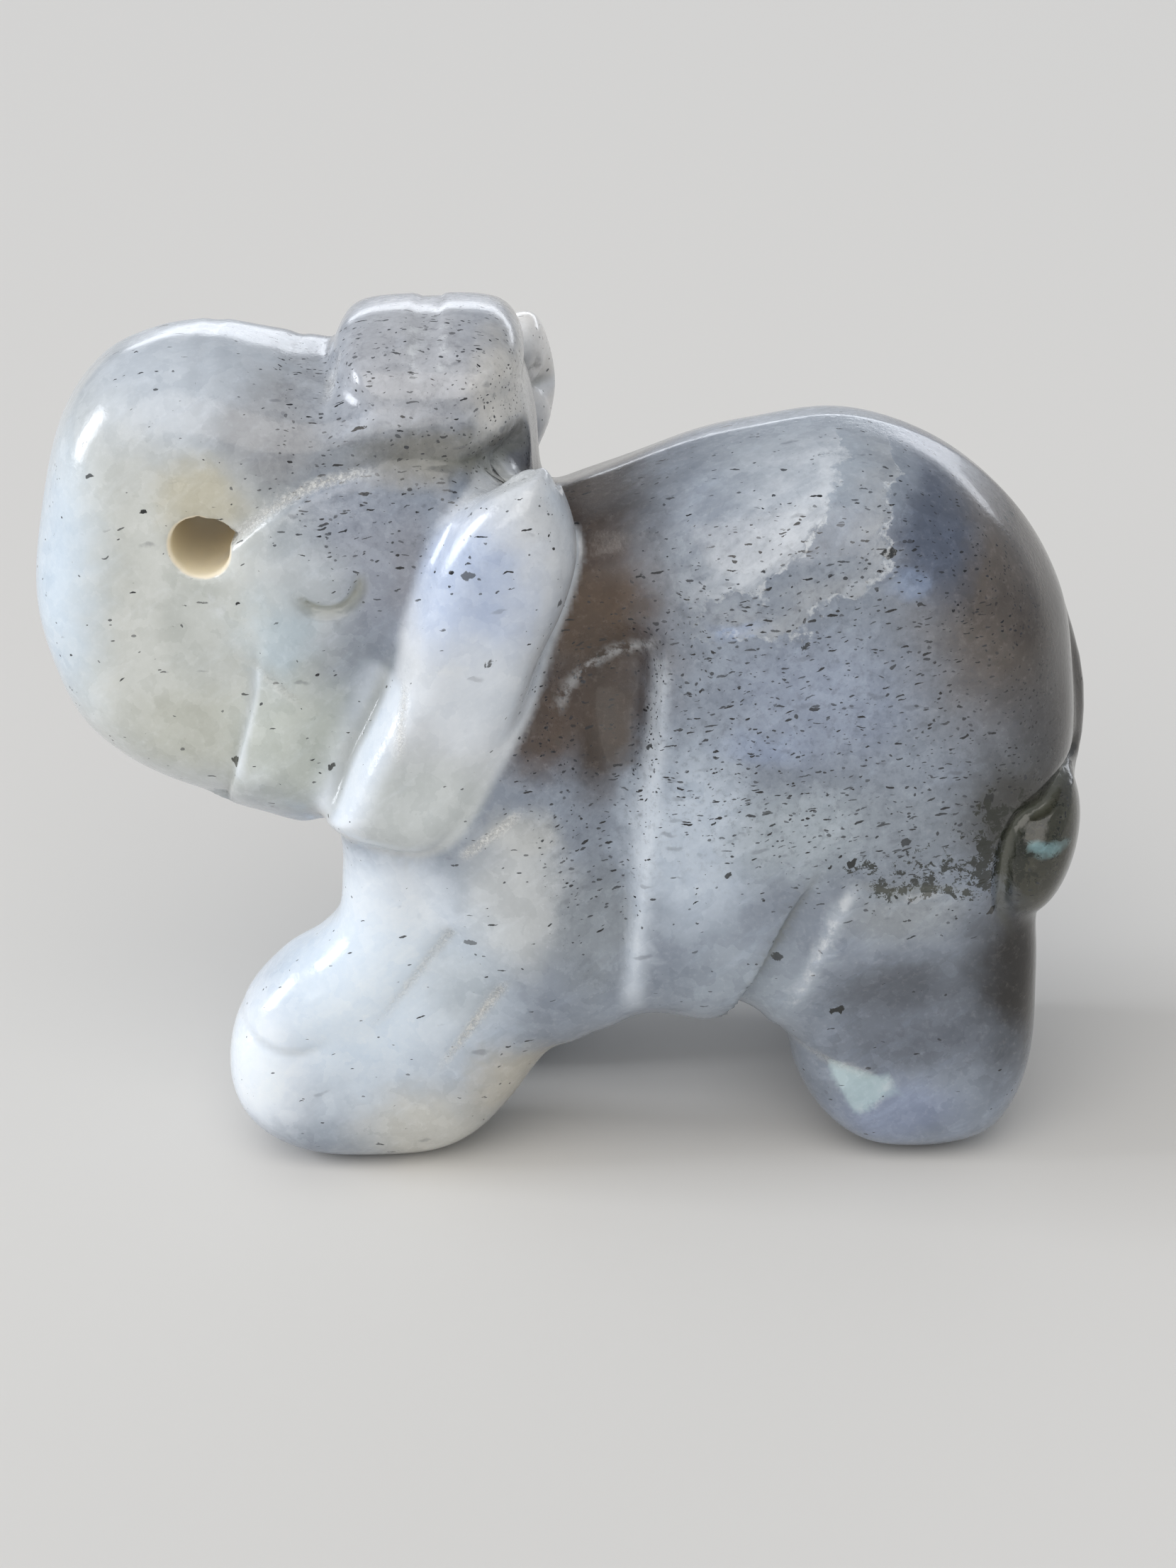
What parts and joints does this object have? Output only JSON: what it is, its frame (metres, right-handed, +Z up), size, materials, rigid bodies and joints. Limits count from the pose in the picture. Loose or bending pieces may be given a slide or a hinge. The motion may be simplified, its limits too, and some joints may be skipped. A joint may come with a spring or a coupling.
{
  "type": "elephant figurine",
  "caption": "Small carved stone elephant in a walking stance, with its drilled trunk curled up and back onto its head. A pocket or shelf ornament that stands on its feet.",
  "frame": {"origin": "on the ground under the soles, at the middle of the overall length and thickness", "axes": "+Z up, -X the way the elephant faces, -Y its left side"},
  "size_m": [0.0401, 0.0166, 0.0331],
  "materials": {
    "polished_stone": "polished, translucent grey and cream feldspar with dark needle inclusions"
  },
  "bodies": {
    "root": {"stone_elephant": "polished_stone"}
  },
  "joints": []
}
